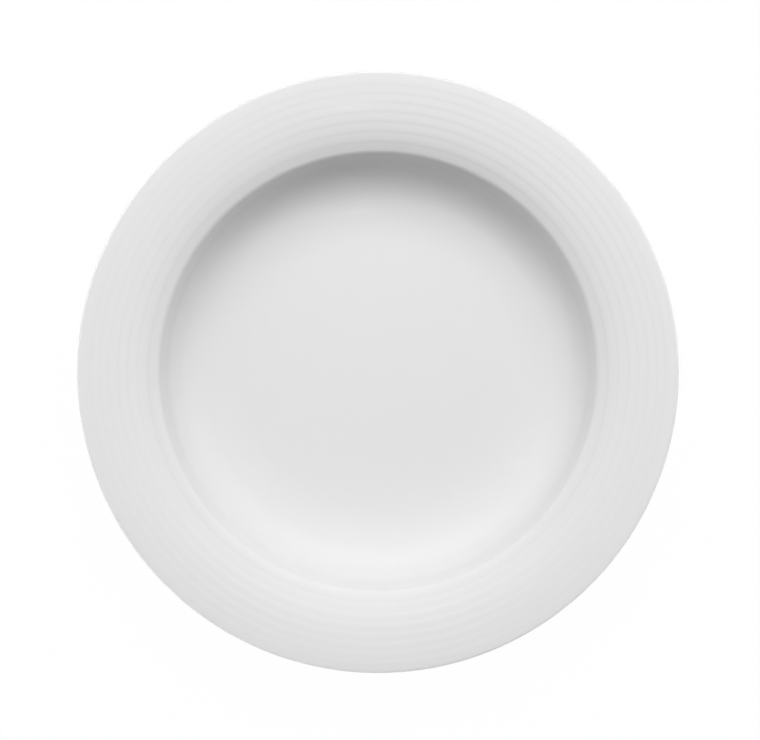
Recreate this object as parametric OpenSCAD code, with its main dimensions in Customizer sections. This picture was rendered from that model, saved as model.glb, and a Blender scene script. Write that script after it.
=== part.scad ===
// Rimmed soup plate in white porcelain, turned about the Z axis and standing on its foot ring.
// The porcelain is one fired piece. Its glaze is two skins, kept apart by the bare foot ring:
// one runs over the face, the lip and the underside, and one lies inside the foot ring.
// The origin is the centre of the foot ring at table level, and all sizes are millimetres.

/* [Plate] */
// Diameter at which the rim folds down into the well
well_d = 171; // [150:0.2:190]
// Width of the rim from that fold to the lip, glaze included
rim_w = 29.5; // [26:0.1:36]
// Height over the table at which the rim meets the lip, glaze included and the rings' relief left out
plate_h = 37; // [32:0.5:44]

/* [Well] */
// Slope of the well's wall
wall_angle = 73; // [62:1:78]
// Height of the wall's straight stretch under the fold
wall_h = 8; // [3:0.5:10]
// Radius of the heel, the gentle curve that leaves the floor
heel_radius = 60; // [45:1:80]
// Slope at which the heel passes into the bowl
heel_angle = 11; // [8:1:20]
// Radius of the fold between the rim and the wall
fold_radius = 3; // [1:0.2:4]
// Slope at the edge of the floor's gentle dome
dome_angle = 3.2; // [1:0.2:5]

/* [Rim] */
// Rise from the fold to the lip
rim_rise = 5.9; // [4:0.1:7]
// Slope that is left in the rim where it meets the lip
rim_end_angle = 4.5; // [0:0.5:6]
// Power of the rim's curve, higher bends it nearer the fold
rim_power = 3.3; // [2:0.1:4]
// Number of raised rings inside the lip
ring_count = 7; // [3:1:12]
// Height of each ring's step in the porcelain
ring_step = 0.2; // [0.1:0.05:0.4]
// Plain band between the fold and the first ring
plain_band = 2.1; // [1:0.1:4]
// Width of each band as a share of the band inside it
band_share = 0.97; // [0.9:0.005:0.99]
// Width of the rounded lip
lip_w = 2; // [1.6:0.1:4]
// Power of the lip's curve: 2 makes an ellipse, and higher keeps it flatter up to a tighter edge
lip_power = 3.5; // [2:0.1:4]

/* [Thickness] */
// Porcelain of the floor
floor_t = 4.4; // [3.4:0.1:6]
// Porcelain of the well's wall
wall_t = 4.2; // [3.4:0.1:5.4]
// Porcelain of the rim next to the fold
shoulder_t = 5; // [4:0.1:6]
// Porcelain of the rim at the lip
lip_t = 3.4; // [2.6:0.1:4.4]

/* [Foot] */
// Distance of the foot ring's outer edge inside the fold
foot_inset = 23; // [18:0.5:28]
// Width of the foot ring at the table, edges included
bearing_w = 2.4; // [2:0.1:4]
// Height of the foot ring outside, up to the plate's underside
foot_h = 3.2; // [2.8:0.1:4.2]
// Lean of the foot ring's sides
foot_draft = 20; // [10:1:28]
// Height of the recess inside the foot ring
recess_h = 2.8; // [2.4:0.1:4]
// Rounding of the bearing face's edges
edge_radius = 0.8; // [0.4:0.1:1]
// Rounding where the foot ring grows out of the underside
root_radius = 1.8; // [1:0.1:2.4]
// Rounding under the fold, where the underside turns out to the rim
under_radius = 9; // [5:0.5:12]
// Slope of the underside where it leaves the foot ring
under_angle = 8; // [4:1:12]

/* [Glaze] */
// Thickness of the glaze
glaze_t = 0.3; // [0.15:0.05:0.5]
// Height over the table at which the glaze stops on both sides of the foot ring
glaze_line_h = 1.1; // [0.9:0.1:1.4]
// Length over which the glaze thins towards that line
glaze_fade = 0.8; // [0.4:0.1:1.2]

/* [Hidden] */
$fn = 144;

// Degrees between two points of an arc
arc_step = 2;
// Steps of the rim's underside, and of the domes of the floor and the recess
smooth_steps = 12;
// Places of the points across one ring's band, closer together over its step
point_shares = [0, 0.06, 0.12, 0.18, 0.24, 0.3, 0.38, 0.48, 0.6, 0.8];
// How much of its band a step takes to round over, in the porcelain and under the softening glaze
porcelain_reach_share = 0.34;
glaze_reach_share = 0.6;
// How much of a step's height is left in the surface of the glaze, which pools at its foot
glaze_step_share = 0.5;
// Thickness of the glaze at its edge, as a share of its full thickness
glaze_edge_share = 0.35;
// How far in from the lip the underside follows the rim, as a share of the rim's width
underside_share = 0.74;
// Slope of the outer wall as a share of the inner one's, so that the wall thickens towards the fold
outer_angle_share = 0.92;
// The most of the outer wall that the roundings above and below it may take
fold_side_share = 0.25;
knee_side_share = 0.7;
// The most of the underside that the roundings at its two ends may take
knee_floor_share = 0.87;
root_floor_share = 0.11;
// The most of a side with one rounding that this rounding may take
lone_side_share = 0.95;

// Radii and heights of the porcelain, without its glaze
well_r = well_d / 2;
body_r = well_r + rim_w - glaze_t;
lip_start_r = body_r - lip_w;
foot_r = well_r - foot_inset;
lip_start_z = plate_h - glaze_t;
end_rise = tan(rim_end_angle) * (lip_start_r - well_r);
valley_z = recess_h + floor_t;
first_ring_r = well_r + plain_band;
first_band = (lip_start_r - first_ring_r) * (1 - band_share) / (1 - pow(band_share, ring_count));

// A vector's own direction, and the vector turned by an angle
function unit(v) = v / norm(v);
function turned(v, angle) = [v.x * cos(angle) - v.y * sin(angle), v.x * sin(angle) + v.y * cos(angle)];
// The direction of a slope, and the direction square to it that points up
function along(angle) = [cos(angle), sin(angle)];
function up_from(angle) = [-sin(angle), cos(angle)];
function reversed(list) = [for (i = [len(list) - 1 : -1 : 0]) list[i]];

// Where the line through p at slope a meets the line through q at slope b
function meet(p, a, q, b) = p + along(a) * cross(q - p, along(b)) / cross(along(a), along(b));

// Points of an arc about centre c, in steps, from where a curve has one slope to where it has another.
// The radius is positive for a crown, which bulges up, and negative for a hollow.
function slopes(c, radius, from, to, steps) =
    [for (i = [0 : steps]) c + radius * up_from(from + (to - from) * i / steps)];
function crown(c, radius, from, to) = slopes(c, radius, from, to, ceil(abs(to - from) / arc_step));
function hollow(c, radius, from, to) = crown(c, -radius, from, to);

// A path through corners [r, z, radius], each rounded by an arc tangent to both of its sides
function rounded(corners) = [for (i = [0 : len(corners) - 1]) each rounded_corner(corners, i)];
function rounded_corner(corners, i) =
    let (p = [corners[i].x, corners[i].y])
    i == 0 || i == len(corners) - 1 ? [p] :
    let (
        back = unit([corners[i - 1].x, corners[i - 1].y] - p),
        ahead = unit([corners[i + 1].x, corners[i + 1].y] - p),
        half = acos(back * ahead) / 2,
        radius = corners[i].z,
        centre = p + unit(back + ahead) * radius / sin(half),
        spoke = p + back * radius / tan(half) - centre,
        turn = sign(cross(ahead, back)) * (180 - 2 * half),
        steps = ceil(abs(turn) / arc_step)
    )
    [for (k = [0 : steps]) centre + turned(spoke, turn * k / steps)];

// The rim's own curve: steep at the fold, and bending towards its end slope at the lip
function rim_left(r) = (lip_start_r - r) / (lip_start_r - well_r);
function rim_z(r) =
    lip_start_z - end_rise * rim_left(r) - (rim_rise - end_rise) * pow(rim_left(r), rim_power);
function rim_angle(r) =
    let (bend = rim_power * (rim_rise - end_rise) * pow(rim_left(r), rim_power - 1))
    atan((end_rise + bend) / (lip_start_r - well_r));
function rim_point(r) = [r, rim_z(r)];

// Ring i starts at this radius, where the foot of its step is. The bands narrow towards the lip.
function ring_r(i) = first_ring_r + first_band * (1 - pow(band_share, i)) / (1 - band_share);
// A step that starts level, climbs quickly and rounds over slowly
function ease(x) = x >= 1 ? 1 : 1 - pow(1 - x, 3) * (1 + 3 * x);
// Height of the relief over the rim's curve, where share is the place across the ring's band
function relief(share, step, reach_share) = step * (ease(share / reach_share) - share);

// The well: the fold, the wall, the bowl and the heel, each tangent to the next
fold_angle = rim_angle(well_r);
fold_centre = rim_point(well_r) - fold_radius * up_from(fold_angle);
wall_top = fold_centre + fold_radius * up_from(wall_angle);
wall_foot = wall_top - wall_h * [1 / tan(wall_angle), 1];
// The bowl's radius is the one that brings the heel down to the floor
heel_top_z = valley_z + heel_radius * (1 - cos(heel_angle));
bowl_radius = (wall_foot.y - heel_top_z) / (cos(heel_angle) - cos(wall_angle));
bowl_centre = wall_foot + bowl_radius * up_from(wall_angle);
heel_centre = bowl_centre + (heel_radius - bowl_radius) * up_from(heel_angle);

// The floor's dome meets the heel where both fall outwards at dome_angle
dome_edge = heel_centre - heel_radius * up_from(-dome_angle);
dome_radius = dome_edge.x / sin(dome_angle);
dome_centre = [0, dome_edge.y - dome_radius * cos(dome_angle)];
dome_rise = dome_radius * (1 - cos(dome_angle));

// The lip: half a squared ellipse that leaves the rim in line with it and reaches the full radius.
// It leans by the rim's slope, so its thickness gives a part of the reach, thick_part.
lip_angle = rim_angle(lip_start_r);
lip_centre = rim_point(lip_start_r) - lip_t / 2 * up_from(lip_angle);
lean_power = lip_power / (lip_power - 1);
thick_part = pow(lip_t / 2 * sin(lip_angle), lean_power);
lip_reach = pow(pow(body_r - lip_centre.x, lean_power) - thick_part, 1 / lean_power) / cos(lip_angle);

// The foot ring, between its outer and inner side
foot_edge = [foot_r, 0];
foot_inner_edge = [foot_r - bearing_w, 0];
foot_root = foot_edge + foot_h * [tan(foot_draft), 1];
recess_root = foot_inner_edge + recess_h * [-tan(foot_draft), 1];
glaze_line = foot_edge + glaze_line_h * [tan(foot_draft), 1];
recess_glaze_line = foot_inner_edge + glaze_line_h * [-tan(foot_draft), 1];

// The underside: a straight outer wall, wall_t from the bowl, and a gentle slope out of the foot ring.
// The two meet at the knee, whose rounding runs along the bowl.
underside_r = lip_start_r - underside_share * (lip_start_r - well_r);
outer_angle = outer_angle_share * wall_angle;
outer_wall = bowl_centre - (bowl_radius + wall_t) * up_from(outer_angle);
knee = meet(foot_root, under_angle, outer_wall, outer_angle);

// Every point below is [r, z, share], where share is the place across a ring's band, 0 off the rings
function plain(points) = [for (p = points) [p.x, p.y, 0]];
function with_corner(p, radius) = [p.x, p.y, radius];
// A corner's radius, or the largest whose arc needs no more than this room on each side of a turn
function fitted(radius, room, turn) = min(radius, room / tan(turn / 2));
function all_but_first(list) = [for (i = [1 : len(list) - 1]) list[i]];

function well_points() = concat(
    slopes(dome_centre, dome_radius, 0, -dome_angle, smooth_steps),
    all_but_first(hollow(heel_centre, heel_radius, -dome_angle, heel_angle)),
    all_but_first(hollow(bowl_centre, bowl_radius, heel_angle, wall_angle)),
    crown(fold_centre, fold_radius, wall_angle, fold_angle)
);

function plain_band_points() = [
    for (i = [1 : smooth_steps - 1])
        rim_point(well_r + plain_band * i / smooth_steps)
];

function ringed_points() = [
    for (i = [0 : ring_count - 1], share = point_shares)
        let (r = ring_r(i) + share * (ring_r(i + 1) - ring_r(i)))
        [r, rim_z(r), share]
];

function squared(share) = sign(share) * pow(abs(share), 2 / lip_power);
function lip_points() = [
    for (a = [0 : arc_step * 2 : 180])
        let (out = lip_reach * squared(sin(a)), up = lip_t / 2 * squared(cos(a)))
        lip_centre + out * along(lip_angle) + up * up_from(lip_angle)
];

function rim_thickness(r) =
    lip_t + (shoulder_t - lip_t) * pow((lip_start_r - r) / (lip_start_r - underside_r), 2);

function rim_underside_points() = [
    for (i = [1 : smooth_steps])
        let (r = lip_start_r + (underside_r - lip_start_r) * i / smooth_steps)
        rim_point(r) - rim_thickness(r) * up_from(rim_angle(r))
];

function outer_wall_points() =
    let (
        rim = rim_underside_points(),
        last = rim[smooth_steps - 1],
        run = last - rim[smooth_steps - 2],
        rim_slope = atan(run.y / run.x),
        under_fold = meet(last, rim_slope, outer_wall, outer_angle),
        wall_length = norm(under_fold - knee),
        floor_length = norm(knee - foot_root),
        fold_room = min(fold_side_share * wall_length, lone_side_share * norm(last - under_fold)),
        knee_room = min(knee_side_share * wall_length, knee_floor_share * floor_length),
        root_room = min(root_floor_share * floor_length, lone_side_share * norm(foot_root - glaze_line))
    )
    all_but_first(rounded([
        last,
        with_corner(under_fold, fitted(under_radius, fold_room, outer_angle - rim_slope)),
        with_corner(knee, fitted(bowl_radius + wall_t, knee_room, outer_angle - under_angle)),
        with_corner(foot_root, fitted(root_radius, root_room, 90 - foot_draft - under_angle)),
        glaze_line
    ]));

// The three stretches of the porcelain's outline, each from its inner end to its outer end
face_outline = concat(
    plain(well_points()),
    plain(plain_band_points()),
    ringed_points(),
    plain(lip_points()),
    plain(rim_underside_points()),
    plain(outer_wall_points())
);

bare_outline = rounded([
    glaze_line,
    with_corner(foot_edge, edge_radius),
    with_corner(foot_inner_edge, edge_radius),
    recess_glaze_line
]);

recess_dome = [
    for (i = [0 : smooth_steps - 1])
        let (share = i / smooth_steps)
        [share * recess_root.x, recess_h + dome_rise * (1 - share * share)]
];

recess_outline = plain(concat(
    recess_dome,
    all_but_first(rounded([
        recess_dome[smooth_steps - 1],
        with_corner(recess_root, root_radius),
        recess_glaze_line
    ]))
));

// Thickness of the glaze over point i of an outline, which thins towards the outline's last point
function glaze_over(points, i) =
    let (left = norm(points[len(points) - 1] - points[i]) / glaze_fade)
    glaze_t * min(1, glaze_edge_share + (1 - glaze_edge_share) * left);

// The direction out of the porcelain at point i: side is 1 above the face and -1 under the recess
function outward(points, i, side) =
    let (
        before = i == 0 ? [-points[1].x, points[1].y] : points[i - 1],
        after = points[min(i + 1, len(points) - 1)]
    )
    side * unit([before.y - after.y, after.x - before.x]);

function glazed(points, side) = [
    for (i = [0 : len(points) - 1])
        let (skin = glaze_over(points, i) * outward(points, i, side))
        [points[i].x + skin.x, points[i].y + skin.y, points[i].z]
];

function in_relief(points, step, reach_share) =
    [for (p = points) [p.x, p.y + relief(p.z, step, reach_share)]];
function without_relief(points) = [for (p = points) [p.x, p.y]];

porcelain_face = in_relief(face_outline, ring_step, porcelain_reach_share);
glaze_face = in_relief(glazed(face_outline, 1), glaze_step_share * ring_step, glaze_reach_share);
porcelain_recess = without_relief(recess_outline);
glaze_recess = without_relief(glazed(recess_outline, -1));

module porcelain_body() {
    color("whitesmoke")
        rotate_extrude()
            polygon(concat(porcelain_face, bare_outline, reversed(porcelain_recess)));
}

module glaze_coat() {
    color("white")
        rotate_extrude()
            polygon(concat(glaze_face, reversed(porcelain_face)));
}

module foot_recess_glaze() {
    color("white")
        rotate_extrude()
            polygon(concat(glaze_recess, reversed(porcelain_recess)));
}

porcelain_body();
glaze_coat();
foot_recess_glaze();
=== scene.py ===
"""A rimmed soup plate in white glazed porcelain, seen from straight above.

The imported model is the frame. Its porcelain and its two skins of glaze are shown by pieces turned from
the same half section, with a finer curve, rings that fade towards a squarer lip, and the finish of
fired glaze.
"""

import logging
import math
from dataclasses import dataclass, field
from enum import Enum

import bpy
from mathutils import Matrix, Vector


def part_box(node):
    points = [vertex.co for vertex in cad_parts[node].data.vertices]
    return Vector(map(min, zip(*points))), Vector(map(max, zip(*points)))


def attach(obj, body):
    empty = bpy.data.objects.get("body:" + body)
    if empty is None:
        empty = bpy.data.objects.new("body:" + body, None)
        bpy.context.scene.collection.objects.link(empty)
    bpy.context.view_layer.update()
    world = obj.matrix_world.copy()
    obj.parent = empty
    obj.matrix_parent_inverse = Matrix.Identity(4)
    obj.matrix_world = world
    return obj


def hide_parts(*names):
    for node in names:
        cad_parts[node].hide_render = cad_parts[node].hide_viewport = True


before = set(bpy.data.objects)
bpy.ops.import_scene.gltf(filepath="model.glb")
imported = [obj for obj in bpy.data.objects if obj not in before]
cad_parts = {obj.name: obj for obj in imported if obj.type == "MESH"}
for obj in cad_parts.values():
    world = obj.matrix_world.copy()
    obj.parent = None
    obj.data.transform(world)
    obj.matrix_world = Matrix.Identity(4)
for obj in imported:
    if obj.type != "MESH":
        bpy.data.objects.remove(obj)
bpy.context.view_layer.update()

MM = 0.001
ROOT_BODY = "root"
# Points closer than this are one point
WELD = 0.001 * MM
# The mix nodes' sockets share their names, so the two colours, the mixed colour and the two shaders
# go by number
FIRST_COLOUR = 6
SECOND_COLOUR = 7
MIXED_COLOUR = 2
FIRST_SHADER = 1
SECOND_SHADER = 2
NOISE_MIDDLE = 0.5

Colour = tuple[float, float, float, float]
Paint = Colour | bpy.types.NodeSocket

log = logging.getLogger("soup_plate")


def grey(level: float) -> Colour:
    """A neutral colour of a linear level."""
    return (level, level, level, 1.0)


class Side(Enum):
    """The side of an outline on which the glaze lies, as a sign for the direction out of it."""

    ABOVE = 1
    BELOW = -1


def along(slope: float) -> Vector:
    """The direction of a slope, given in degrees, in the half section of radius and height."""
    return Vector((math.cos(math.radians(slope)), math.sin(math.radians(slope))))


def up_from(slope: float) -> Vector:
    """The direction square to a slope, given in degrees, on its upper side."""
    return Vector((-math.sin(math.radians(slope)), math.cos(math.radians(slope))))


def cross(a: Vector, b: Vector) -> float:
    """The cross product of two directions of the half section."""
    return a.x * b.y - a.y * b.x


def meet(p: Vector, slope_p: float, q: Vector, slope_q: float) -> Vector:
    """The point where two lines of the half section cross.

    Args:
        p: A point of the first line.
        slope_p: The first line's slope in degrees.
        q: A point of the second line.
        slope_q: The second line's slope in degrees.

    Returns:
        The crossing point.
    """
    share = cross(q - p, along(slope_q)) / cross(along(slope_p), along(slope_q))
    return p + along(slope_p) * share


def slopes(centre: Vector, radius: float, start: float, end: float, steps: int) -> list[Vector]:
    """Points of an arc, from where it has one slope to where it has another.

    Args:
        centre: The arc's centre.
        radius: The arc's radius, positive for a crown, which bulges up, and negative for a hollow.
        start: The first point's slope in degrees.
        end: The last point's slope in degrees.
        steps: How many steps the arc is divided into.

    Returns:
        The points, both ends included.
    """
    return [centre + radius * up_from(start + (end - start) * i / steps) for i in range(steps + 1)]


@dataclass(frozen=True)
class Corner:
    """A corner of an outline and the radius that rounds it."""

    place: Vector
    radius: float

    def rounded(self, before: Vector, after: Vector, degrees: float) -> list[Vector]:
        """The arc that rounds this corner, tangent to both of its sides.

        Args:
            before: A point of the side that leads to the corner.
            after: A point of the side that leaves it.
            degrees: The longest step of the arc.

        Returns:
            The arc's points, in order.
        """
        back = (before - self.place).normalized()
        ahead = (after - self.place).normalized()
        half = math.acos(back.dot(ahead)) / 2
        centre = self.place + (back + ahead).normalized() * self.radius / math.sin(half)
        spoke = self.place + back * self.radius / math.tan(half) - centre
        turn = math.copysign(math.pi - 2 * half, cross(ahead, back))
        steps = max(1, math.ceil(abs(math.degrees(turn)) / degrees))
        return [centre + turned(spoke, turn * i / steps) for i in range(steps + 1)]


def fitted(radius: float, room: float, turn: float) -> float:
    """A corner's radius, or the largest that its sides have room for.

    Args:
        radius: The radius that is wanted.
        room: The length of each side that the rounding may take.
        turn: The angle in degrees between the two sides' directions.

    Returns:
        The radius to use.
    """
    return min(radius, room / math.tan(math.radians(turn) / 2))


def turned(v: Vector, angle: float) -> Vector:
    """A direction of the half section turned by an angle in radians."""
    cosine = math.cos(angle)
    sine = math.sin(angle)
    return Vector((v.x * cosine - v.y * sine, v.x * sine + v.y * cosine))


@dataclass(frozen=True)
class Mark:
    """A point of an outline, its place across its ring's band as a share, and that ring's strength."""

    place: Vector
    share: float = 0.0
    strength: float = 0.0


def plain(points: list[Vector]) -> list[Mark]:
    """Points of an outline that carry no ring."""
    return [Mark(p) for p in points]


@dataclass
class Rim:
    """The rim from the fold to the underside, without its rings' relief."""

    body_r: float
    lip_start_z: float
    well_r: float = 85.5 * MM
    # The rim rises by this much, bends by this power and ends at this slope
    rise: float = 5.9 * MM
    power: float = 3.3
    end_slope: float = 4.5
    # The rings start outside a plain band, and each one's band is this share of the band inside it
    plain_band: float = 2.1 * MM
    ring_count: int = 7
    band_share: float = 0.97
    # Each ring's step is this share of the step inside it
    ring_fade: float = 0.86
    # The last band bends down by this much more on its way to the lip
    lip_drop: float = 0.08 * MM
    lip_w: float = 2 * MM
    # A power of 2 would make the lip an ellipse, and a higher one makes it squarer
    lip_power: float = 5.5
    lip_t: float = 3.4 * MM
    shoulder_t: float = 5 * MM
    # The underside follows the rim over this share of its width
    underside_share: float = 0.74
    band_points: int = 16
    # Points lie closer together over the step, which is at the start of the band
    band_crowding: float = 1.35
    lip_points: int = 30
    underside_points: int = 20

    def __post_init__(self) -> None:
        """Works out the radii that the rest of the rim is measured from."""
        self.lip_start_r = self.body_r - self.lip_w
        self.width = self.lip_start_r - self.well_r
        self.end_rise = math.tan(math.radians(self.end_slope)) * self.width
        self.first_ring_r = self.well_r + self.plain_band
        last = self.band_share**self.ring_count
        self.first_band = (self.lip_start_r - self.first_ring_r) * (1 - self.band_share) / (1 - last)
        self.last_ring_r = self.ring_r(self.ring_count - 1)
        self.last_band = self.lip_start_r - self.last_ring_r

    def left(self, r: float) -> float:
        """How far a radius is from the lip, as a share of the way from the fold to the lip."""
        return (self.lip_start_r - r) / self.width

    def point(self, r: float) -> Vector:
        """The rim's point at a radius: steep at the fold, bending towards its end slope at the lip."""
        left = self.left(r)
        bend = (self.rise - self.end_rise) * left**self.power
        drop = self.lip_drop * self.into_last_band(r) ** 2
        return Vector((r, self.lip_start_z - self.end_rise * left - bend - drop))

    def slope(self, r: float) -> float:
        """The rim's slope at a radius, in degrees."""
        bend = self.power * (self.rise - self.end_rise) * self.left(r) ** (self.power - 1)
        drop = 2 * self.lip_drop * self.into_last_band(r) / self.last_band
        return math.degrees(math.atan((self.end_rise + bend) / self.width - drop))

    def into_last_band(self, r: float) -> float:
        """How far a radius is into the last ring's band, as a share of the band."""
        return max(0.0, (r - self.last_ring_r) / self.last_band)

    def ring_r(self, i: int) -> float:
        """The radius at which ring i's step starts. The bands narrow towards the lip."""
        return self.first_ring_r + self.first_band * (1 - self.band_share**i) / (1 - self.band_share)

    def face(self) -> list[Mark]:
        """The rim's face, from outside the fold to inside the lip."""
        shares = [i / self.band_points for i in range(self.band_points)]
        marks = [Mark(self.point(self.well_r + self.plain_band * share)) for share in shares[1:]]
        for ring in range(self.ring_count):
            start = self.ring_r(ring)
            width = self.ring_r(ring + 1) - start
            for even_share in shares:
                share = even_share**self.band_crowding
                marks.append(Mark(self.point(start + width * share), share, self.ring_fade**ring))
        return marks

    def lip(self) -> list[Vector]:
        """The lip: half a squared ellipse that goes on from the rim and reaches the full radius."""
        slope = self.slope(self.lip_start_r)
        half_t = self.lip_t / 2
        centre = self.point(self.lip_start_r) - half_t * up_from(slope)
        # The lip leans by the rim's slope, so its thickness gives part of the reach
        power = self.lip_power / (self.lip_power - 1)
        lean = (half_t * abs(up_from(slope).x)) ** power
        reach = ((self.body_r - centre.x) ** power - lean) ** (1 / power) / along(slope).x
        points = []
        for i in range(self.lip_points + 1):
            angle = math.pi * i / self.lip_points
            out = self.squared(math.sin(angle))
            up = self.squared(math.cos(angle))
            points.append(centre + reach * out * along(slope) + half_t * up * up_from(slope))
        return points

    def squared(self, share: float) -> float:
        """A sine or cosine bent so that the curve it draws is squarer than an ellipse."""
        return math.copysign(abs(share) ** (2 / self.lip_power), share)

    def thickness(self, r: float) -> float:
        """The rim's thickness at a radius, which grows from the lip to the shoulder."""
        inwards = (self.lip_start_r - r) / (self.lip_start_r - self.underside_r)
        return self.lip_t + (self.shoulder_t - self.lip_t) * inwards**2

    @property
    def underside_r(self) -> float:
        """The radius down to which the underside follows the rim."""
        return self.lip_start_r - self.underside_share * (self.lip_start_r - self.well_r)

    def underside(self) -> list[Vector]:
        """The rim's underside, from the lip inwards."""
        points = []
        for i in range(1, self.underside_points + 1):
            r = self.lip_start_r + (self.underside_r - self.lip_start_r) * i / self.underside_points
            points.append(self.point(r) - self.thickness(r) * up_from(self.slope(r)))
        return points


@dataclass
class Well:
    """The well: a domed floor, a gentle heel, a bowl, a straight wall and the fold up to the rim."""

    rim: Rim
    valley_z: float
    wall_angle: float = 73.0
    wall_h: float = 8 * MM
    heel_radius: float = 60 * MM
    heel_angle: float = 11.0
    fold_radius: float = 3 * MM
    dome_angle: float = 3.2
    dome_points: int = 16
    heel_points: int = 14
    bowl_points: int = 36
    fold_points: int = 14

    def __post_init__(self) -> None:
        """Places the fold, wall, bowl, heel and dome, each tangent to the next."""
        rim = self.rim
        self.fold_angle = rim.slope(rim.well_r)
        self.fold_centre = rim.point(rim.well_r) - self.fold_radius * up_from(self.fold_angle)
        wall_top = self.fold_centre + self.fold_radius * up_from(self.wall_angle)
        steep = math.radians(self.wall_angle)
        gentle = math.radians(self.heel_angle)
        wall_foot = wall_top - self.wall_h * Vector((1 / math.tan(steep), 1))
        heel_top_z = self.valley_z + self.heel_radius * (1 - math.cos(gentle))
        self.bowl_radius = (wall_foot.y - heel_top_z) / (math.cos(gentle) - math.cos(steep))
        self.bowl_centre = wall_foot + self.bowl_radius * up_from(self.wall_angle)
        wider = self.heel_radius - self.bowl_radius
        self.heel_centre = self.bowl_centre + wider * up_from(self.heel_angle)
        dome_edge = self.heel_centre - self.heel_radius * up_from(-self.dome_angle)
        self.dome_radius = dome_edge.x / math.sin(math.radians(self.dome_angle))
        self.dome_centre = dome_edge - self.dome_radius * up_from(-self.dome_angle)

    @property
    def dome_rise(self) -> float:
        """How far the floor's middle stands over its edge."""
        return self.dome_radius * (1 - math.cos(math.radians(self.dome_angle)))

    def face(self) -> list[Vector]:
        """The well's face, from the axis to the fold."""
        edge, heel, wall, top = -self.dome_angle, self.heel_angle, self.wall_angle, self.fold_angle
        points = slopes(self.dome_centre, self.dome_radius, 0, edge, self.dome_points)
        points += slopes(self.heel_centre, -self.heel_radius, edge, heel, self.heel_points)[1:]
        points += slopes(self.bowl_centre, -self.bowl_radius, heel, wall, self.bowl_points)[1:]
        return points + slopes(self.fold_centre, self.fold_radius, wall, top, self.fold_points)


@dataclass
class Foot:
    """The foot ring, the recess inside it and the plate's outer wall down to it."""

    rim: Rim
    well: Well
    recess_h: float
    wall_t: float = 4.2 * MM
    # The foot ring's outer edge is this far inside the well's edge
    foot_inset: float = 23 * MM
    bearing_w: float = 2.4 * MM
    foot_h: float = 3.2 * MM
    draft: float = 20.0
    edge_radius: float = 0.8 * MM
    root_radius: float = 1.8 * MM
    under_radius: float = 9 * MM
    # The slope outside the foot, and the outer wall's share of the inner wall's slope
    under_angle: float = 8.0
    outer_share: float = 0.92
    # The most that a rounding takes of the side that it shares with the next, or of one it has alone
    fold_side_share: float = 0.25
    knee_side_share: float = 0.7
    knee_floor_share: float = 0.87
    root_floor_share: float = 0.11
    lone_side_share: float = 0.95
    glaze_line_h: float = 1.1 * MM
    # The longest step of an arc in degrees, and that of the small arcs at the foot's roots and edges
    arc_degrees: float = 2.5
    root_degrees: float = 5.0
    edge_degrees: float = 10.0
    recess_points: int = 14

    def __post_init__(self) -> None:
        """Places the foot ring's corners, and the knee where the underside turns up."""
        lean = math.tan(math.radians(self.draft))
        self.edge = Vector((self.rim.well_r - self.foot_inset, 0))
        self.inner_edge = self.edge - Vector((self.bearing_w, 0))
        self.root = self.edge + self.foot_h * Vector((lean, 1))
        self.recess_root = self.inner_edge + self.recess_h * Vector((-lean, 1))
        self.glaze_line = self.edge + self.glaze_line_h * Vector((lean, 1))
        self.recess_line = self.inner_edge + self.glaze_line_h * Vector((-lean, 1))
        well = self.well
        self.outer_angle = self.outer_share * well.wall_angle
        self.knee_radius = well.bowl_radius + self.wall_t
        self.on_wall = well.bowl_centre - self.knee_radius * up_from(self.outer_angle)
        self.knee = meet(self.root, self.under_angle, self.on_wall, self.outer_angle)

    def outer_wall(self) -> list[Vector]:
        """The underside from the rim, down the outer wall and round the knee, to the glaze line."""
        before, last = self.rim.underside()[-2:]
        run = last - before
        rim_slope = math.degrees(math.atan2(-run.y, -run.x))
        under_fold = meet(last, rim_slope, self.on_wall, self.outer_angle)
        wall = (under_fold - self.knee).length
        floor = (self.knee - self.root).length
        under_rim = (last - under_fold).length
        foot_side = (self.root - self.glaze_line).length
        fold_room = min(self.fold_side_share * wall, self.lone_side_share * under_rim)
        knee_room = min(self.knee_side_share * wall, self.knee_floor_share * floor)
        root_room = min(self.root_floor_share * floor, self.lone_side_share * foot_side)
        fold_turn = self.outer_angle - rim_slope
        knee_turn = self.outer_angle - self.under_angle
        root_turn = 90 - self.draft - self.under_angle
        fold = Corner(under_fold, fitted(self.under_radius, fold_room, fold_turn))
        knee = Corner(self.knee, fitted(self.knee_radius, knee_room, knee_turn))
        root = Corner(self.root, fitted(self.root_radius, root_room, root_turn))
        points = fold.rounded(last, self.knee, self.arc_degrees)
        points += knee.rounded(under_fold, self.root, self.arc_degrees)
        points += root.rounded(self.knee, self.glaze_line, self.root_degrees)
        return points + [self.glaze_line]

    def bare(self) -> list[Vector]:
        """The unglazed bearing face, between the outer glaze line and the inner one."""
        outer = Corner(self.edge, self.edge_radius)
        inner = Corner(self.inner_edge, self.edge_radius)
        points = outer.rounded(self.glaze_line, self.inner_edge, self.edge_degrees)
        return points + inner.rounded(self.edge, self.recess_line, self.edge_degrees)

    def recess(self) -> list[Vector]:
        """The recess, from the axis to its glaze line."""
        rise = self.well.dome_rise
        dome = []
        for i in range(self.recess_points):
            share = i / self.recess_points
            dome.append(Vector((share * self.recess_root.x, self.recess_h + rise * (1 - share**2))))
        root = Corner(self.recess_root, self.root_radius)
        return dome + root.rounded(dome[-1], self.recess_line, self.root_degrees) + [self.recess_line]


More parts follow.
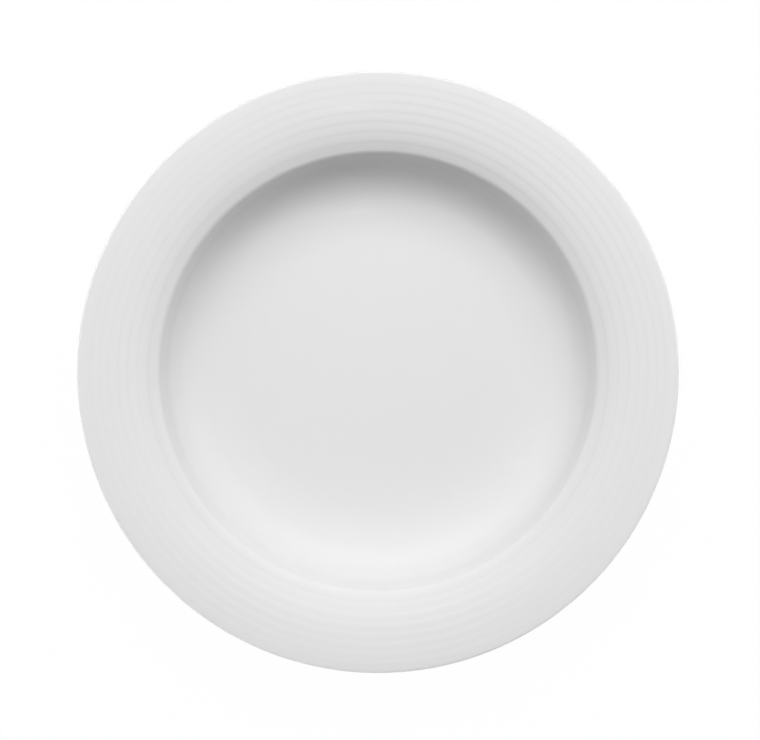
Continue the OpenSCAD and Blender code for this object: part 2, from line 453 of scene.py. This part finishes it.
@dataclass
class Relief:
    """The rings: at the start of each band the face steps up, and then it falls back over the band."""

    step: float = 0.11 * MM
    # The step ends at this share of the band
    reach: float = 0.6

    def height(self, share: float) -> float:
        """The relief over the rim's curve, before the ring's own strength.

        Args:
            share: The place across the ring's band.

        Returns:
            The height in metres.
        """
        climbed = min(1.0, share / self.reach)
        # The step starts level, is steepest a third of the way along and ends level
        eased = 1 - (1 - climbed) ** 3 * (1 + 3 * climbed)
        return self.step * (eased - share)


@dataclass
class Glaze:
    """A skin of glaze over an outline of the porcelain, thinner at its edge."""

    thickness: float
    # It thins over this length, to this share at the edge
    fade: float = 0.8 * MM
    edge_share: float = 0.35

    def over(self, marks: list[Mark], side: Side) -> list[Mark]:
        """The glaze's own surface over an outline that ends at the glaze's edge.

        Args:
            marks: The porcelain's outline, from the axis to the glaze's edge.
            side: The side on which the glaze lies.

        Returns:
            The same marks, each moved out of the porcelain by the glaze's thickness.
        """
        places = [m.place for m in marks]
        skin = []
        for i, mark in enumerate(marks):
            before = places[i - 1] if i else Vector((-places[1].x, places[1].y))
            after = places[min(i + 1, len(places) - 1)]
            out = side.value * Vector((before.y - after.y, after.x - before.x)).normalized()
            left = (places[-1] - mark.place).length / self.fade
            thickness = self.thickness * min(1.0, self.edge_share + (1 - self.edge_share) * left)
            skin.append(Mark(mark.place + thickness * out, mark.share, mark.strength))
        return skin


def in_relief(marks: list[Mark], relief: Relief) -> list[Vector]:
    """The points of an outline with the rings' relief added."""
    return [m.place + Vector((0, m.strength * relief.height(m.share))) for m in marks]


@dataclass
class Section:
    """The plate's whole half section. Radii and heights are in metres and slopes in degrees."""

    plate_r: float
    glaze_t: float
    lip_start_h: float = 37 * MM
    floor_t: float = 4.4 * MM
    recess_h: float = 2.8 * MM
    glaze_relief: Relief = field(default_factory=Relief)
    # The rings are sharper under the glaze, which levels them
    porcelain_relief: Relief = field(default_factory=lambda: Relief(step=0.2 * MM, reach=0.34))

    def __post_init__(self) -> None:
        """Builds the rim, the well and the foot on each other, and the glaze over them."""
        self.rim = Rim(body_r=self.plate_r - self.glaze_t, lip_start_z=self.lip_start_h - self.glaze_t)
        self.well = Well(self.rim, valley_z=self.recess_h + self.floor_t)
        self.foot = Foot(self.rim, self.well, recess_h=self.recess_h)
        self.glaze = Glaze(self.glaze_t)

    def face(self) -> list[Mark]:
        """The porcelain's outline from the middle of the floor, round the lip, to the foot ring."""
        rim = self.rim
        inside = plain(self.well.face()) + rim.face()
        return inside + plain(rim.lip() + rim.underside() + self.foot.outer_wall())

    def recess(self) -> list[Mark]:
        """The porcelain's outline inside the foot ring."""
        return plain(self.foot.recess())


@dataclass(frozen=True)
class Lathe:
    """Turns a closed outline about the plate's axis into a mesh."""

    segments: int = 224
    # The size of the square that is merged into the outline's first point
    seed_size: float = 1 * MM
    sharp_edge: float = math.radians(35)

    def draw(self, name: str, outline: list[Vector]) -> bpy.types.Object:
        """Draws an outline by extruding a point along it.

        Args:
            name: The new piece's name.
            outline: The outline's points from the axis back to the axis.

        Returns:
            The piece, which is the outline alone.
        """
        bpy.ops.object.select_all(action="DESELECT")
        start = outline[0]
        bpy.ops.mesh.primitive_plane_add(size=self.seed_size, location=(start.x, 0, start.y))
        piece = bpy.context.object
        piece.name = name
        bpy.ops.object.transform_apply(location=True, rotation=True, scale=True)
        bpy.ops.object.mode_set(mode="EDIT")
        bpy.ops.mesh.merge(type="CENTER")
        for here, there in zip(outline, outline[1:]):
            move = (there.x - here.x, 0, there.y - here.y)
            bpy.ops.mesh.extrude_vertices_move(TRANSFORM_OT_translate={"value": move})
        bpy.ops.object.mode_set(mode="OBJECT")
        return piece

    def turn(self, piece: bpy.types.Object) -> None:
        """Turns a drawn outline round the axis, and closes and smooths its mesh."""
        bpy.ops.object.modifier_add(type="SCREW")
        screw = piece.modifiers[-1]
        screw.axis = "Z"
        screw.angle = math.tau
        screw.steps = self.segments
        screw.render_steps = self.segments
        bpy.ops.object.modifier_apply(modifier=screw.name)
        bpy.ops.object.mode_set(mode="EDIT")
        bpy.ops.mesh.select_all(action="SELECT")
        bpy.ops.mesh.remove_doubles(threshold=WELD)
        bpy.ops.mesh.normals_make_consistent(inside=False)
        bpy.ops.object.mode_set(mode="OBJECT")
        bpy.ops.object.shade_smooth_by_angle(angle=self.sharp_edge)


class Tree:
    """A node tree that is built from nothing, for a material or the world."""

    def __init__(self, owner: bpy.types.ID) -> None:
        """Empties the owner's node tree.

        Args:
            owner: The material or world whose tree is built.
        """
        owner.use_nodes = True
        self.nodes = owner.node_tree.nodes
        self.links = owner.node_tree.links
        self.nodes.clear()

    def node(
        self, kind: str, settings: dict | None = None, inputs: dict | None = None
    ) -> bpy.types.Node:
        """Adds a node.

        Args:
            kind: The node's type, such as ShaderNodeMath.
            settings: Its properties, which are set first.
            inputs: The values or links of its sockets, by name or number.

        Returns:
            The new node.
        """
        node = self.nodes.new(kind)
        for name, value in (settings or {}).items():
            setattr(node, name, value)
        for name, value in (inputs or {}).items():
            socket = node.inputs[name]
            source = value.socket if isinstance(value, Term) else value
            if isinstance(source, bpy.types.NodeSocket):
                self.links.new(source, socket)
            else:
                socket.default_value = source
        return node

    def math(self, operation: str, *values: "Term | float") -> "Term":
        """Adds a Math node that works on the values."""
        node = self.node("ShaderNodeMath", {"operation": operation}, dict(enumerate(values)))
        return Term(self, node.outputs["Value"])

    def place(self) -> bpy.types.NodeSocket:
        """The coordinates that every pattern reads."""
        return self.node("ShaderNodeTexCoord").outputs["Object"]

    def axes(self, place: bpy.types.NodeSocket) -> list["Term"]:
        """The X, Y and Z of the coordinates."""
        apart = self.node("ShaderNodeSeparateXYZ", None, {"Vector": place})
        return [Term(self, axis) for axis in apart.outputs]

    def noise(self, place: bpy.types.NodeSocket, size: float, detail: float) -> "Term":
        """Soft noise over a surface.

        Args:
            place: The coordinates that it reads.
            size: The distance from one crest to the next.
            detail: How many finer layers it has.

        Returns:
            The noise, from 0 to 1.
        """
        inputs = {"Vector": place, "Scale": 1 / size, "Detail": detail}
        return Term(self, self.node("ShaderNodeTexNoise", None, inputs).outputs["Fac"])

    def mixed(self, share: "Term", first: Paint, second: Paint) -> bpy.types.NodeSocket:
        """Mixes two colours.

        Args:
            share: The share of the second colour.
            first: The first colour, or the socket that gives it.
            second: The second colour, or its socket.

        Returns:
            The mixed colour.
        """
        inputs = {"Factor": share, FIRST_COLOUR: first, SECOND_COLOUR: second}
        return self.node("ShaderNodeMix", {"data_type": "RGBA"}, inputs).outputs[MIXED_COLOUR]

    def surface(self, relief: "Term", inputs: dict) -> None:
        """Adds the shader of a surface and shows it.

        Args:
            relief: The surface's fine relief, as a height in metres.
            inputs: The values or links of the shader's sockets.
        """
        bump = self.node("ShaderNodeBump", None, {"Strength": 1.0, "Distance": 1.0, "Height": relief})
        inputs = {**inputs, "Normal": bump.outputs["Normal"]}
        self.show(self.node("ShaderNodeBsdfPrincipled", None, inputs))

    def show(self, shader: bpy.types.Node) -> None:
        """Makes a shader the material's surface."""
        self.node("ShaderNodeOutputMaterial", None, {"Surface": shader.outputs[0]})


class Term:
    """A number that a node puts out. Arithmetic on it adds Math nodes."""

    def __init__(self, tree: Tree, socket: bpy.types.NodeSocket) -> None:
        """Wraps an output socket of the tree."""
        self.tree = tree
        self.socket = socket

    def __add__(self, other: "Term | float") -> "Term":
        """This term plus another."""
        return self.tree.math("ADD", self, other)

    def __radd__(self, other: float) -> "Term":
        """A number plus this term."""
        return self.tree.math("ADD", other, self)

    def __sub__(self, other: "Term | float") -> "Term":
        """This term less another."""
        return self.tree.math("SUBTRACT", self, other)

    def __rsub__(self, other: float) -> "Term":
        """A number less this term."""
        return self.tree.math("SUBTRACT", other, self)

    def __mul__(self, other: "Term | float") -> "Term":
        """This term times another."""
        return self.tree.math("MULTIPLY", self, other)

    def __rmul__(self, other: float) -> "Term":
        """A number times this term."""
        return self.tree.math("MULTIPLY", other, self)

    def __truediv__(self, other: "Term | float") -> "Term":
        """This term over another."""
        return self.tree.math("DIVIDE", self, other)

    def __pow__(self, other: float) -> "Term":
        """This term to a power."""
        return self.tree.math("POWER", self, other)

    def at_least(self, least: float) -> "Term":
        """This term, kept from falling under a number."""
        return self.tree.math("MAXIMUM", self, least)

    def clamped(self) -> "Term":
        """This term, kept from 0 to 1."""
        return self.tree.math("MINIMUM", self.at_least(0.0), 1.0)

    def peak(self, middle: float, reach: float) -> "Term":
        """1 where this term has its middle value, falling evenly to 0 at a reach to either side."""
        return (1 - self.tree.math("ABSOLUTE", self - middle) / reach).clamped()


@dataclass(frozen=True)
class GlazeFinish:
    """Clear glossy glaze over white porcelain."""

    name: str = "glossy_glaze"
    slot: str = "glaze"
    colour: Colour = grey(0.764)
    # The glaze is a little greyer where it lies thick, and its thickness varies in faint clouds. Over
    # the rings the same grey also paints shade.
    pool_and_shade_colour: Colour = grey(0.7)
    cloud_size: float = 45 * MM
    cloud_detail: float = 2.0
    cloud_share: float = 0.16
    roughness: float = 0.06
    roughness_spread: float = 0.03
    refraction: float = 1.5
    # It flows out in long low waves, with a fine peel on them
    wave_size: float = 28 * MM
    wave_detail: float = 1.0
    wave_height: float = 0.015 * MM
    peel_size: float = 2.2 * MM
    peel_detail: float = 2.0
    peel_height: float = 0.0002 * MM

    def material(self) -> bpy.types.Material:
        """The material of the finish."""
        material = bpy.data.materials.new(self.name)
        tree = Tree(material)
        place = tree.place()
        waves = tree.noise(place, self.wave_size, self.wave_detail)
        peel = tree.noise(place, self.peel_size, self.peel_detail)
        # The greyer colour marks thicker glaze, and over the rings it is also painted shade
        pool_and_painted_shade = self.pool_and_painted_shade(tree, place).clamped()
        inputs = {
            "Base Color": tree.mixed(pool_and_painted_shade, self.colour, self.pool_and_shade_colour),
            "Roughness": self.roughness + self.roughness_spread * waves,
            "IOR": self.refraction,
        }
        tree.surface(waves * self.wave_height + peel * self.peel_height, inputs)
        return material

    def pool_and_painted_shade(self, tree: Tree, place: bpy.types.NodeSocket) -> Term:
        """How thick the glaze lies, from 0 to 1: it varies in faint clouds.

        Args:
            tree: The material's tree.
            place: The coordinates that it reads.

        Returns:
            The share of the greyer colour.
        """
        return tree.noise(place, self.cloud_size, self.cloud_detail) * self.cloud_share


@dataclass(frozen=True)
class RingedGlazeFinish(GlazeFinish):
    """The glaze over a ringed rim. Thicker glaze and painted shade grey its grooves, painted shade greys
    its shoulder, and it thins over the rings' crests.
    """

    name: str = "glossy_glaze_over_rings"
    rim: Rim = field(kw_only=True)
    # Each groove's and crest's place and reach to either side are shares of the ring's band
    groove_place: float = 0.12
    groove_reach: float = 0.16
    groove_pool_and_shade: float = 0.36
    # Each ring's groove pool and painted shade is this share of the one inside it
    groove_fade: float = 0.9
    crest_place: float = 0.44
    crest_reach: float = 0.3
    crest_thin: float = 0.04
    # Painted shade darkens the shoulder, this far outside the fold and this far to either side
    shoulder_place: float = 2 * MM
    shoulder_reach: float = 4 * MM
    shoulder_painted_shade: float = 0.35

    def pool_and_painted_shade(self, tree: Tree, place: bpy.types.NodeSocket) -> Term:
        """The share of the greyer colour, from 0 to 1: thicker glaze in faint clouds, thicker glaze and
        painted shade in each ring's groove, and painted shade on the shoulder.

        Args:
            tree: The material's tree.
            place: The coordinates that it reads.

        Returns:
            The share of the greyer colour, with its painted shade.
        """
        rim = self.rim
        x, y, _ = tree.axes(place)
        radius = (x * x + y * y) ** 0.5
        # The bands narrow towards the lip, so a logarithm gives the number of the band at a radius
        narrowing = (1 - rim.band_share) / rim.first_band
        narrowed = (1 - (radius - rim.first_ring_r) * narrowing).at_least(WELD)
        band = tree.math("LOGARITHM", narrowed, rim.band_share)
        faded = narrowed ** (math.log(self.groove_fade) / math.log(rim.band_share))
        # A groove reaches over its band's start, so the bands are moved to have it in their middle
        middle = 0.5
        groove = tree.math("FRACT", band - self.groove_place + middle).peak(middle, self.groove_reach)
        crest = tree.math("FRACT", band).peak(self.crest_place, self.crest_reach)
        inside_lip = tree.math("LESS_THAN", radius, rim.lip_start_r)
        ringed = tree.math("GREATER_THAN", radius, rim.first_ring_r) * inside_lip
        # The grooves get thicker glaze and painted shade together, and the crests get thinner glaze
        rings = ringed * (groove * faded * self.groove_pool_and_shade - crest * self.crest_thin)
        # Painted shade on the shoulder just outside the fold
        shoulder = radius.peak(rim.well_r + self.shoulder_place, self.shoulder_reach)
        return super().pool_and_painted_shade(tree, place) + rings + shoulder * self.shoulder_painted_shade


@dataclass(frozen=True)
class BareFinish:
    """Fired porcelain without glaze, with a film of glaze along the foot ring's edges."""

    name: str = "bare_porcelain"
    slot: str = "porcelain"
    colour: Colour = (0.72, 0.71, 0.685, 1.0)
    dark: Colour = (0.6, 0.585, 0.555, 1.0)
    film_colour: Colour = grey(0.78)
    grain_size: float = 0.35 * MM
    grain_detail: float = 3.0
    grain_height: float = 0.012 * MM
    bare_roughness: float = 0.62
    grain_roughness: float = 0.2
    film_roughness: float = 0.16
    # The film's lower edge wanders around this height over the table
    film_z: float = 0.85 * MM
    film_wander: float = 0.5 * MM
    film_wander_size: float = 5 * MM
    film_wander_detail: float = 3.0
    film_blur: float = 0.08 * MM

    def material(self) -> bpy.types.Material:
        """The material of the finish."""
        material = bpy.data.materials.new(self.name)
        tree = Tree(material)
        place = tree.place()
        height = tree.axes(place)[2]
        grain = tree.noise(place, self.grain_size, self.grain_detail)
        wander = tree.noise(place, self.film_wander_size, self.film_wander_detail) - NOISE_MIDDLE
        edge = self.film_z + wander * self.film_wander
        film = ((height - edge) / self.film_blur).clamped()
        sand = tree.mixed(grain, self.dark, self.colour)
        rough = self.bare_roughness + self.grain_roughness * grain
        inputs = {
            "Base Color": tree.mixed(film, sand, self.film_colour),
            "Roughness": rough + film * (self.film_roughness - rough),
        }
        tree.surface(grain * self.grain_height * (1 - film), inputs)
        return material


class Piece:
    """A turned piece that stands for one node of the frame."""

    name = ""
    node = ""

    def __init__(self, section: Section, lathe: Lathe, finish: GlazeFinish | BareFinish) -> None:
        """Takes the section that it is turned from, the lathe and its finish."""
        self.section = section
        self.lathe = lathe
        self.finish = finish

    def outline(self) -> list[Vector]:
        """The closed outline, from the axis back to the axis."""
        raise NotImplementedError

    def make(self) -> None:
        """Turns the piece, dresses it and puts it in its node's place."""
        piece = self.lathe.draw(self.name, self.outline())
        self.lathe.turn(piece)
        piece.data.materials.append(self.finish.material())
        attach(piece, ROOT_BODY)
        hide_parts(self.node)
        log.info("%s: %d faces for %s", self.name, len(piece.data.polygons), self.node)


class GlazeCoat(Piece):
    """The glaze over the face, round the lip and down the underside to the foot ring."""

    name = "glaze_over_face_and_underside"
    node = "glaze_coat"
    # The hidden side takes one in this many points of the porcelain's outline
    back_step = 3

    def outline(self) -> list[Vector]:
        """The glaze's surface out to its edge, and back along the porcelain in longer steps."""
        section = self.section
        front = in_relief(section.glaze.over(section.face(), Side.ABOVE), section.glaze_relief)
        back = [m.place for m in section.face()][:: -self.back_step]
        if back[-1].x > WELD:
            back.append(Vector((0, back[-1].y)))
        return front + back


class FootRecessGlaze(Piece):
    """The glaze over the recess inside the foot ring."""

    name = "glaze_in_foot_recess"
    node = "foot_recess_glaze"

    def outline(self) -> list[Vector]:
        """The glaze's surface out to its edge, and back along the porcelain."""
        recess = self.section.recess()
        front = self.section.glaze.over(recess, Side.BELOW)
        return [m.place for m in front + recess[::-1]]


class PorcelainBody(Piece):
    """The fired body, of which only the bare foot ring shows."""

    name = "fired_body_with_foot_ring"
    node = "porcelain_body"

    def outline(self) -> list[Vector]:
        """The porcelain's whole outline."""
        section = self.section
        face = in_relief(section.face(), section.porcelain_relief)
        recess = [m.place for m in section.recess()]
        return face + section.foot.bare() + recess[::-1]


@dataclass(frozen=True)
class Lamp:
    """A soft round lamp, aimed at the plate, with its angles in degrees and its power in watts."""

    name: str
    azimuth: float
    elevation: float
    power: float
    size: float = 1.0
    distance: float = 1.4
    # A lamp behind a wide diffuser leaves no bright disc in a reflection
    mirrored: bool = False

    def hang(self) -> None:
        """Hangs the lamp, aimed at the middle of the plate's foot."""
        climb = math.radians(self.elevation)
        turn = math.radians(self.azimuth)
        level = math.cos(climb)
        way = Vector((level * math.cos(turn), level * math.sin(turn), math.sin(climb)))
        data = bpy.data.lights.new(self.name, "AREA")
        data.shape = "DISK"
        data.size = self.size
        data.energy = self.power
        lamp = bpy.data.objects.new(self.name, data)
        bpy.context.scene.collection.objects.link(lamp)
        lamp.location = way * self.distance
        lamp.rotation_euler = (-way).to_track_quat("-Z", "Y").to_euler()
        lamp.visible_glossy = self.mirrored


@dataclass
class Studio:
    """The camera over the plate, the lamps, the white floor and the world around them."""

    plate_r: float
    plate_top: float
    # The photograph's size, the plate's middle in it and the plate's width in it, in pixels
    image_px: tuple[int, int] = (760, 740)
    centre_px: tuple[float, float] = (378.0, 372.1)
    plate_width_px: float = 602.8
    camera_height: float = 1.3
    floor_size: float = 6.0
    floor_colour: Colour = grey(0.9)
    floor_roughness: float = 0.8
    # The share of plain white in the floor that the camera sees, over its shaded colour
    floor_glow: float = 0.985
    # The strength of the white world, as light and not as a background
    ambient: float = 0.05
    lamps: tuple[Lamp, ...] = (
        Lamp("high_softbox", 80, 65, 7.0),
        Lamp("right_softbox", 55, 50, 5.0),
        Lamp("left_softbox", 105, 50, 6.5),
        Lamp("right_fill", 0, 35, 2.4),
        Lamp("left_fill", 180, 35, 4.3),
        Lamp("right_strip", 25, 8, 4.3),
        Lamp("left_strip", 135, 8, 2.8),
        # Cards that stand lower than the lip, and light only its outer side
        Lamp("left_card", 205, 1, 4.5, size=0.04),
        Lamp("front_card", 255, 1, 4.5, size=0.04),
        Lamp("right_card", 299, 1, 3.8, size=0.04),
        Lamp("bare_bulb", -84, 80, 0.16, size=0.06, distance=4.0, mirrored=True),
    )

    def build(self) -> None:
        """Builds the studio."""
        self.aim_camera()
        self.lay_floor()
        self.light_world()
        for lamp in self.lamps:
            lamp.hang()
            log.info("%s: %.2f W", lamp.name, lamp.power)

    def aim_camera(self) -> None:
        """Hangs the camera straight over the plate, with the photograph's framing."""
        data = bpy.data.cameras.new("overhead_camera")
        camera = bpy.data.objects.new("overhead_camera", data)
        bpy.context.scene.collection.objects.link(camera)
        pixel = 2 * self.plate_r / self.plate_width_px
        width, height = self.image_px
        off_x = (width / 2 - self.centre_px[0]) * pixel
        off_y = (self.centre_px[1] - height / 2) * pixel
        camera.location = (off_x, off_y, self.camera_height)
        distance = self.camera_height - self.plate_top
        data.lens = data.sensor_width * distance / (pixel * width)
        bpy.context.scene.camera = camera
        log.info("camera: %.0f mm lens at %.2f m", data.lens, self.camera_height)

    def lay_floor(self) -> None:
        """Lays the white floor that the plate stands on."""
        bpy.ops.object.select_all(action="DESELECT")
        bpy.ops.mesh.primitive_plane_add(size=self.floor_size, location=(0, 0, 0))
        floor = bpy.context.object
        floor.name = "floor"
        material = bpy.data.materials.new("white_floor")
        tree = Tree(material)
        inputs = {"Base Color": self.floor_colour, "Roughness": self.floor_roughness}
        matt = tree.node("ShaderNodeBsdfPrincipled", None, inputs)
        white = tree.node("ShaderNodeEmission", None, {"Color": grey(1.0), "Strength": 1.0})
        inputs = {
            "Fac": self.seen(tree) * self.floor_glow,
            FIRST_SHADER: matt.outputs["BSDF"],
            SECOND_SHADER: white.outputs["Emission"],
        }
        tree.show(tree.node("ShaderNodeMixShader", None, inputs))
        floor.data.materials.append(material)

    def seen(self, tree: Tree) -> Term:
        """1 for a ray that shows the background, also in a reflection, and 0 for one that lights."""
        path = tree.node("ShaderNodeLightPath")
        camera = Term(tree, path.outputs["Is Camera Ray"])
        glossy = Term(tree, path.outputs["Is Glossy Ray"])
        through = Term(tree, path.outputs["Is Transmission Ray"])
        return (camera + glossy + through).clamped()

    def light_world(self) -> None:
        """Makes the world a soft even light that shows as white."""
        world = bpy.data.worlds.new("studio")
        bpy.context.scene.world = world
        tree = Tree(world)
        shown = self.seen(tree)
        strength = shown + (1 - shown) * self.ambient
        inputs = {"Color": grey(1.0), "Strength": strength}
        white = tree.node("ShaderNodeBackground", None, inputs)
        tree.node("ShaderNodeOutputWorld", None, {"Surface": white.outputs["Background"]})


def main() -> None:
    """Builds the plate and its studio."""
    logging.basicConfig(level=logging.INFO, format="%(name)s: %(message)s")
    bpy.context.scene.view_settings.view_transform = "Standard"
    glaze_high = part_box("glaze_coat")[1]
    body_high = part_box("porcelain_body")[1]
    section = Section(plate_r=glaze_high.x, glaze_t=glaze_high.x - body_high.x)
    lathe = Lathe()
    GlazeCoat(section, lathe, RingedGlazeFinish(rim=section.rim)).make()
    FootRecessGlaze(section, lathe, GlazeFinish(name="recess_glaze")).make()
    PorcelainBody(section, lathe, BareFinish()).make()
    Studio(plate_r=glaze_high.x, plate_top=glaze_high.z).build()


if __name__ == "__main__":
    main()
